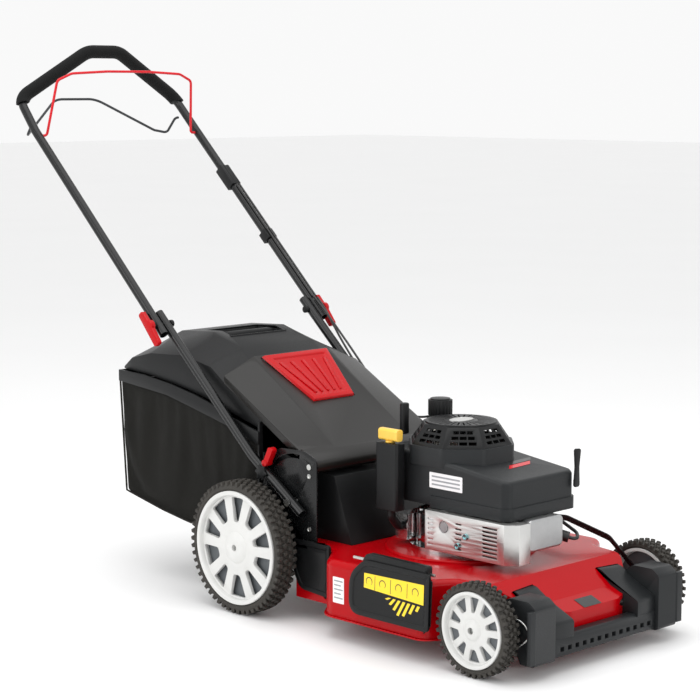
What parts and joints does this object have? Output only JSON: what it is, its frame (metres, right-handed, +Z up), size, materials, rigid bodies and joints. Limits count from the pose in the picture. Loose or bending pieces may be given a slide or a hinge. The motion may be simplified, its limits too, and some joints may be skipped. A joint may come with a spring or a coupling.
{
  "type": "walk-behind lawn mower",
  "caption": "Petrol walk-behind lawn mower with pressed deck, rear grass bag, fold-down tube handle, control bails, side discharge flap and coupled height adjustment.",
  "frame": {"origin": "on the ground under the middle of the machine's bounding box", "axes": "+Z up, -Y the way the mower drives, +X the operator's left"},
  "size_m": [0.566, 1.657, 1.1835],
  "materials": {
    "deck_red": "gloss",
    "black_steel": "gloss",
    "black_plastic": "satin",
    "grey_plastic": "satin",
    "red_plastic": "gloss",
    "wheel_grey": "satin",
    "tyre_rubber": "matte",
    "foam": "matte",
    "bag_cloth": "woven",
    "cast_alloy": "cast",
    "pressed_alloy": "satin",
    "zinc_steel": "plated",
    "bare_steel": "machined",
    "yellow_plastic": "gloss",
    "belt_rubber": "matte",
    "bail_red": "gloss",
    "bail_grey": "satin",
    "cable_black": "satin",
    "tank_plastic": "translucent"
  },
  "bodies": {
    "chassis": {"deck": "deck_red", "front_bumper": "grey_plastic", "rear_housing": "black_plastic", "side_plates": "black_steel", "chassis_fixings": "zinc_steel", "engine_block": "cast_alloy", "engine_cover": "grey_plastic", "starter_cover": "black_plastic", "muffler": "bare_steel", "muffler_guard": "pressed_alloy", "valve_cover": "cast_alloy", "spark_plug": "cable_black", "intake": "black_plastic", "fuel_tank": "tank_plastic", "oil_filler_tube": "black_plastic", "drive_belt": "belt_rubber", "gearbox": "cast_alloy"},
    "crank": {"crankshaft": "bare_steel", "flywheel": "cast_alloy", "crank_pulley": "bare_steel", "blade": "black_steel"},
    "drive_shaft": {"drive_shaft": "bare_steel"},
    "gearbox_pulley": {"gearbox_pulley": "zinc_steel"},
    "rear_axle": {"rear_axle": "zinc_steel", "height_knob": "black_plastic"},
    "front_axle": {"front_axle": "zinc_steel"},
    "height_link": {"height_link": "black_steel"},
    "lower_handle": {"lower_handle": "black_steel", "lower_knobs": "black_plastic", "lower_cables": "cable_black"},
    "upper_handle": {"upper_handle": "black_steel", "handle_grip": "foam", "cable_clips": "black_plastic", "upper_cables": "cable_black"},
    "brake_bail": {"brake_bail": "bail_red"},
    "drive_bail": {"drive_bail": "bail_grey"},
    "rear_flap": {"rear_flap": "grey_plastic", "flap_insert": "red_plastic"},
    "grass_bag": {"bag_frame": "grey_plastic", "bag_fabric": "bag_cloth", "bag_lid": "grey_plastic"},
    "discharge_flap": {"discharge_flap": "black_plastic"},
    "fuel_cap": {"fuel_cap": "black_plastic"},
    "dipstick": {"dipstick": "yellow_plastic"},
    "choke_lever": {"choke_lever": "black_plastic"},
    "starter_grip": {"starter_grip": "black_plastic"},
    "rear_wheel_left": {"rear_tyre_left": "tyre_rubber", "rear_rim_left": "wheel_grey"},
    "front_wheel_left": {"front_tyre_left": "tyre_rubber", "front_rim_left": "wheel_grey"},
    "pinion_left": {"pinion_left": "bare_steel"},
    "upper_lever_left": {"upper_lever_left": "red_plastic"},
    "lower_lever_left": {"lower_lever_left": "red_plastic"},
    "rear_wheel_right": {"rear_tyre_right": "tyre_rubber", "rear_rim_right": "wheel_grey"},
    "front_wheel_right": {"front_tyre_right": "tyre_rubber", "front_rim_right": "wheel_grey"},
    "pinion_right": {"pinion_right": "bare_steel"},
    "upper_lever_right": {"upper_lever_right": "red_plastic"},
    "lower_lever_right": {"lower_lever_right": "red_plastic"}
  },
  "joints": [
    {"name": "crank_spin", "type": "hinge", "parent": "chassis", "child": "crank", "pos_m": [0, -0.4445, 0.1], "axis": [0, 0, 1], "continuous": true},
    {"name": "drive_shaft_spin", "type": "hinge", "parent": "chassis", "child": "drive_shaft", "pos_m": [0, -0.1295, 0.14], "axis": [1, 0, 0], "continuous": true},
    {"name": "gearbox_pulley_spin", "type": "hinge", "parent": "chassis", "child": "gearbox_pulley", "pos_m": [0.13, -0.1495, 0.15], "axis": [0, 0, 1], "continuous": true},
    {"name": "height_adjust", "type": "hinge", "parent": "chassis", "child": "rear_axle", "pos_m": [0, -0.1295, 0.14], "axis": [1, 0, 0], "range_deg": [-17, 30]},
    {"name": "front_height", "type": "hinge", "parent": "chassis", "child": "front_axle", "pos_m": [0, -0.7795, 0.09], "axis": [1, 0, 0], "range_deg": [-17, 30]},
    {"name": "link_pivot", "type": "hinge", "parent": "rear_axle", "child": "height_link", "pos_m": [0.216, -0.0715, 0.175], "axis": [1, 0, 0], "range_deg": [-30, 17]},
    {"name": "lower_fold", "type": "hinge", "parent": "chassis", "child": "lower_handle", "pos_m": [0, -0.1725, 0.243], "axis": [1, 0, 0], "range_deg": [0, 60], "deforming": ["lower_cables"]},
    {"name": "upper_fold", "type": "hinge", "parent": "lower_handle", "child": "upper_handle", "pos_m": [0, 0.2265, 0.576], "axis": [-1, 0, 0], "range_deg": [-130, 0]},
    {"name": "brake_bail_pull", "type": "hinge", "parent": "upper_handle", "child": "brake_bail", "pos_m": [0, 0.6495, 0.975], "axis": [1, 0, 0], "range_deg": [-30, 0], "stiffness_Nm_per_rad": 3},
    {"name": "drive_bail_pull", "type": "hinge", "parent": "upper_handle", "child": "drive_bail", "pos_m": [0, 0.7035, 1.011], "axis": [1, 0, 0], "range_deg": [0, 35], "stiffness_Nm_per_rad": 3},
    {"name": "flap_hinge", "type": "hinge", "parent": "chassis", "child": "rear_flap", "pos_m": [0, -0.2135, 0.319], "axis": [1, 0, 0], "range_deg": [0, 70], "stiffness_Nm_per_rad": 1.5, "springref_deg": -34.38},
    {"name": "bag_slide", "type": "slide", "parent": "chassis", "child": "grass_bag", "axis": [0, 1, 0], "range_m": [0, 0.35]},
    {"name": "discharge_hinge", "type": "hinge", "parent": "chassis", "child": "discharge_flap", "pos_m": [-0.265, -0.5145, 0.176], "axis": [0, 1, 0], "range_deg": [0, 80], "stiffness_Nm_per_rad": 0.3, "springref_deg": -28.65},
    {"name": "fuel_cap_turn", "type": "hinge", "parent": "chassis", "child": "fuel_cap", "pos_m": [0.056, -0.3345, 0.43], "axis": [0, 0, 1], "range_deg": [0, 90]},
    {"name": "dipstick_slide", "type": "slide", "parent": "chassis", "child": "dipstick", "axis": [0, 0, 1], "range_m": [0, 0.14]},
    {"name": "choke_turn", "type": "hinge", "parent": "chassis", "child": "choke_lever", "pos_m": [0.1, -0.6605, 0.312], "axis": [0, 1, 0], "range_deg": [0, 35]},
    {"name": "starter_pull", "type": "slide", "parent": "chassis", "child": "starter_grip", "axis": [0, 0.7071, 0.7071], "range_m": [0, 0.4], "stiffness_N_per_m": 40},
    {"name": "rear_wheel_left_spin", "type": "hinge", "parent": "rear_axle", "child": "rear_wheel_left", "pos_m": [0.257, -0.0695, 0.14], "axis": [1, 0, 0], "continuous": true},
    {"name": "front_wheel_left_spin", "type": "hinge", "parent": "front_axle", "child": "front_wheel_left", "pos_m": [0.253, -0.7195, 0.09], "axis": [1, 0, 0], "continuous": true},
    {"name": "pinion_left_spin", "type": "hinge", "parent": "rear_axle", "child": "pinion_left", "pos_m": [0.24, -0.1295, 0.14], "axis": [1, 0, 0], "continuous": true},
    {"name": "upper_lever_left_cam", "type": "hinge", "parent": "upper_handle", "child": "upper_lever_left", "pos_m": [0.252, 0.2265, 0.576], "axis": [1, 0, 0], "range_deg": [0, 75]},
    {"name": "lower_lever_left_cam", "type": "hinge", "parent": "lower_handle", "child": "lower_lever_left", "pos_m": [0.215, -0.0985, 0.3145], "axis": [1, 0, 0], "range_deg": [0, 60]},
    {"name": "rear_wheel_right_spin", "type": "hinge", "parent": "rear_axle", "child": "rear_wheel_right", "pos_m": [-0.257, -0.0695, 0.14], "axis": [1, 0, 0], "continuous": true},
    {"name": "front_wheel_right_spin", "type": "hinge", "parent": "front_axle", "child": "front_wheel_right", "pos_m": [-0.253, -0.7195, 0.09], "axis": [1, 0, 0], "continuous": true},
    {"name": "pinion_right_spin", "type": "hinge", "parent": "rear_axle", "child": "pinion_right", "pos_m": [-0.24, -0.1295, 0.14], "axis": [1, 0, 0], "continuous": true},
    {"name": "upper_lever_right_cam", "type": "hinge", "parent": "upper_handle", "child": "upper_lever_right", "pos_m": [-0.252, 0.2265, 0.576], "axis": [1, 0, 0], "range_deg": [0, 75]},
    {"name": "lower_lever_right_cam", "type": "hinge", "parent": "lower_handle", "child": "lower_lever_right", "pos_m": [-0.215, -0.0985, 0.3145], "axis": [1, 0, 0], "range_deg": [0, 60]}
  ],
  "couplings": [
    {"joint": "front_height", "follows": "height_adjust", "ratio": 1},
    {"joint": "link_pivot", "follows": "height_adjust", "ratio": -1},
    {"joint": "gearbox_pulley_spin", "follows": "drive_shaft_spin", "ratio": 12},
    {"joint": "pinion_left_spin", "follows": "rear_wheel_left_spin", "ratio": 6},
    {"joint": "pinion_right_spin", "follows": "rear_wheel_right_spin", "ratio": 6}
  ]
}
